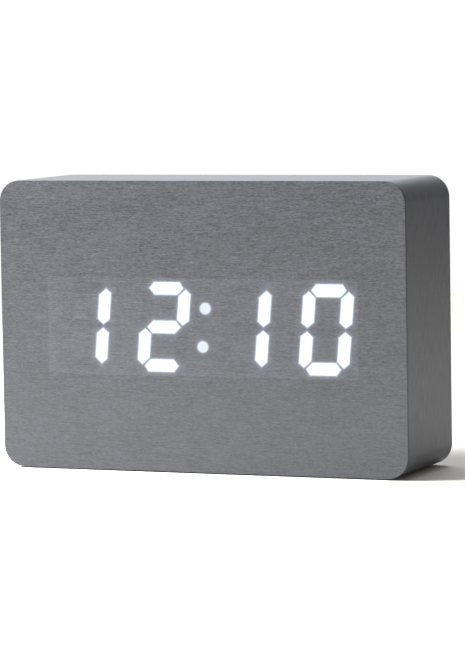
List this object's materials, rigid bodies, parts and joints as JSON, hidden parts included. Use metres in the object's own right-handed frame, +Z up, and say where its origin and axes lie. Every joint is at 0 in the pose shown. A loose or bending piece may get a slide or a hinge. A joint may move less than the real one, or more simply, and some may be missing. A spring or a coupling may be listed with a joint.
{
  "type": "desk clock",
  "caption": "Rectangular block desk clock covered in brushed grey film, with white LED digits that glow through its face, and rear buttons, power inlet and battery bay.",
  "frame": {"origin": "middle of the clock's footprint, at the height of its feet's undersides", "axes": "+Z up; the display faces -Y and the controls +Y; +X is to the right when the display is seen from the front"},
  "size_m": [0.15, 0.045, 0.1004],
  "materials": {
    "black_lead": "insulated wire",
    "black_plastic": "fine-textured black ABS",
    "black_steel": "black oxide",
    "brushed_film": "dark grey brushed-metal-effect film",
    "button_plastic": "smooth black ABS",
    "cell_jacket": "plain printed sleeve",
    "circuit_board": "green solder mask",
    "fibreboard": "raw fibreboard",
    "grey_ribbon": "flat cable",
    "light_guide": "milky diffuser, lit white",
    "mask_black": "black light mask",
    "red_lead": "insulated wire",
    "rubber": "thin foam rubber pad",
    "steel": "plated spring steel",
    "white_plastic": "white reflector plastic"
  },
  "bodies": {
    "clock": {"alarm_buzzer": "black_plastic", "back_board": "fibreboard", "back_film": "brushed_film", "board_screw_1": "black_steel", "board_screw_2": "black_steel", "case_body": "fibreboard", "cell_1": "cell_jacket", "cell_2": "cell_jacket", "cell_3": "cell_jacket", "cell_4": "cell_jacket", "cell_spring_1": "steel", "cell_spring_2": "steel", "cell_spring_3": "steel", "cell_spring_4": "steel", "circuit_board": "circuit_board", "clock_chip": "black_plastic", "colon_light_guide": "light_guide", "control_plate": "black_plastic", "digit_1_light_guide": "light_guide", "digit_2_light_guide": "light_guide", "digit_3_light_guide": "light_guide", "digit_4_light_guide": "light_guide", "display_board": "circuit_board", "display_ribbon": "grey_ribbon", "display_screw_1": "black_steel", "display_screw_2": "black_steel", "down_switch": "black_plastic", "foot_pad_1": "rubber", "foot_pad_2": "rubber", "foot_pad_3": "rubber", "foot_pad_4": "rubber", "front_film": "brushed_film", "left_bridge": "steel", "lower_right_bridge": "steel", "mode_switch": "steel", "negative_lead": "black_lead", "negative_terminal": "steel", "plate_screw_1": "black_steel", "plate_screw_2": "black_steel", "plate_screw_3": "black_steel", "plate_screw_4": "black_steel", "positive_lead": "red_lead", "positive_terminal": "steel", "power_jack": "black_plastic", "power_jack_pin": "steel", "quartz_crystal": "steel", "reflector_block": "white_plastic", "segment_mask": "mask_black", "set_switch": "black_plastic", "side_film": "brushed_film", "smoothing_capacitor": "black_lead", "sound_sensor": "steel", "temperature_sensor": "black_plastic", "up_switch": "black_plastic", "upper_right_bridge": "steel"},
    "set_button": {"set_button": "button_plastic"},
    "up_button": {"up_button": "button_plastic"},
    "down_button": {"down_button": "button_plastic"},
    "mode_knob": {"mode_knob": "button_plastic"},
    "battery_door": {"battery_door": "black_plastic"}
  },
  "joints": [
    {"name": "set_press", "type": "slide", "parent": "clock", "child": "set_button", "axis": [0, -1, 0], "range_m": [0, 0.0005], "stiffness_N_per_m": 1500, "springref_m": -0.0005},
    {"name": "up_press", "type": "slide", "parent": "clock", "child": "up_button", "axis": [0, -1, 0], "range_m": [0, 0.0005], "stiffness_N_per_m": 1500, "springref_m": -0.0005},
    {"name": "down_press", "type": "slide", "parent": "clock", "child": "down_button", "axis": [0, -1, 0], "range_m": [0, 0.0005], "stiffness_N_per_m": 1500, "springref_m": -0.0005},
    {"name": "mode_slide", "type": "slide", "parent": "clock", "child": "mode_knob", "axis": [1, 0, 0], "range_m": [0, 0.002]},
    {"name": "door_hinge", "type": "hinge", "parent": "clock", "child": "battery_door", "pos_m": [0.027, 0.0215, 0.0272], "axis": [-1, 0, 0], "range_deg": [0, 75]}
  ]
}
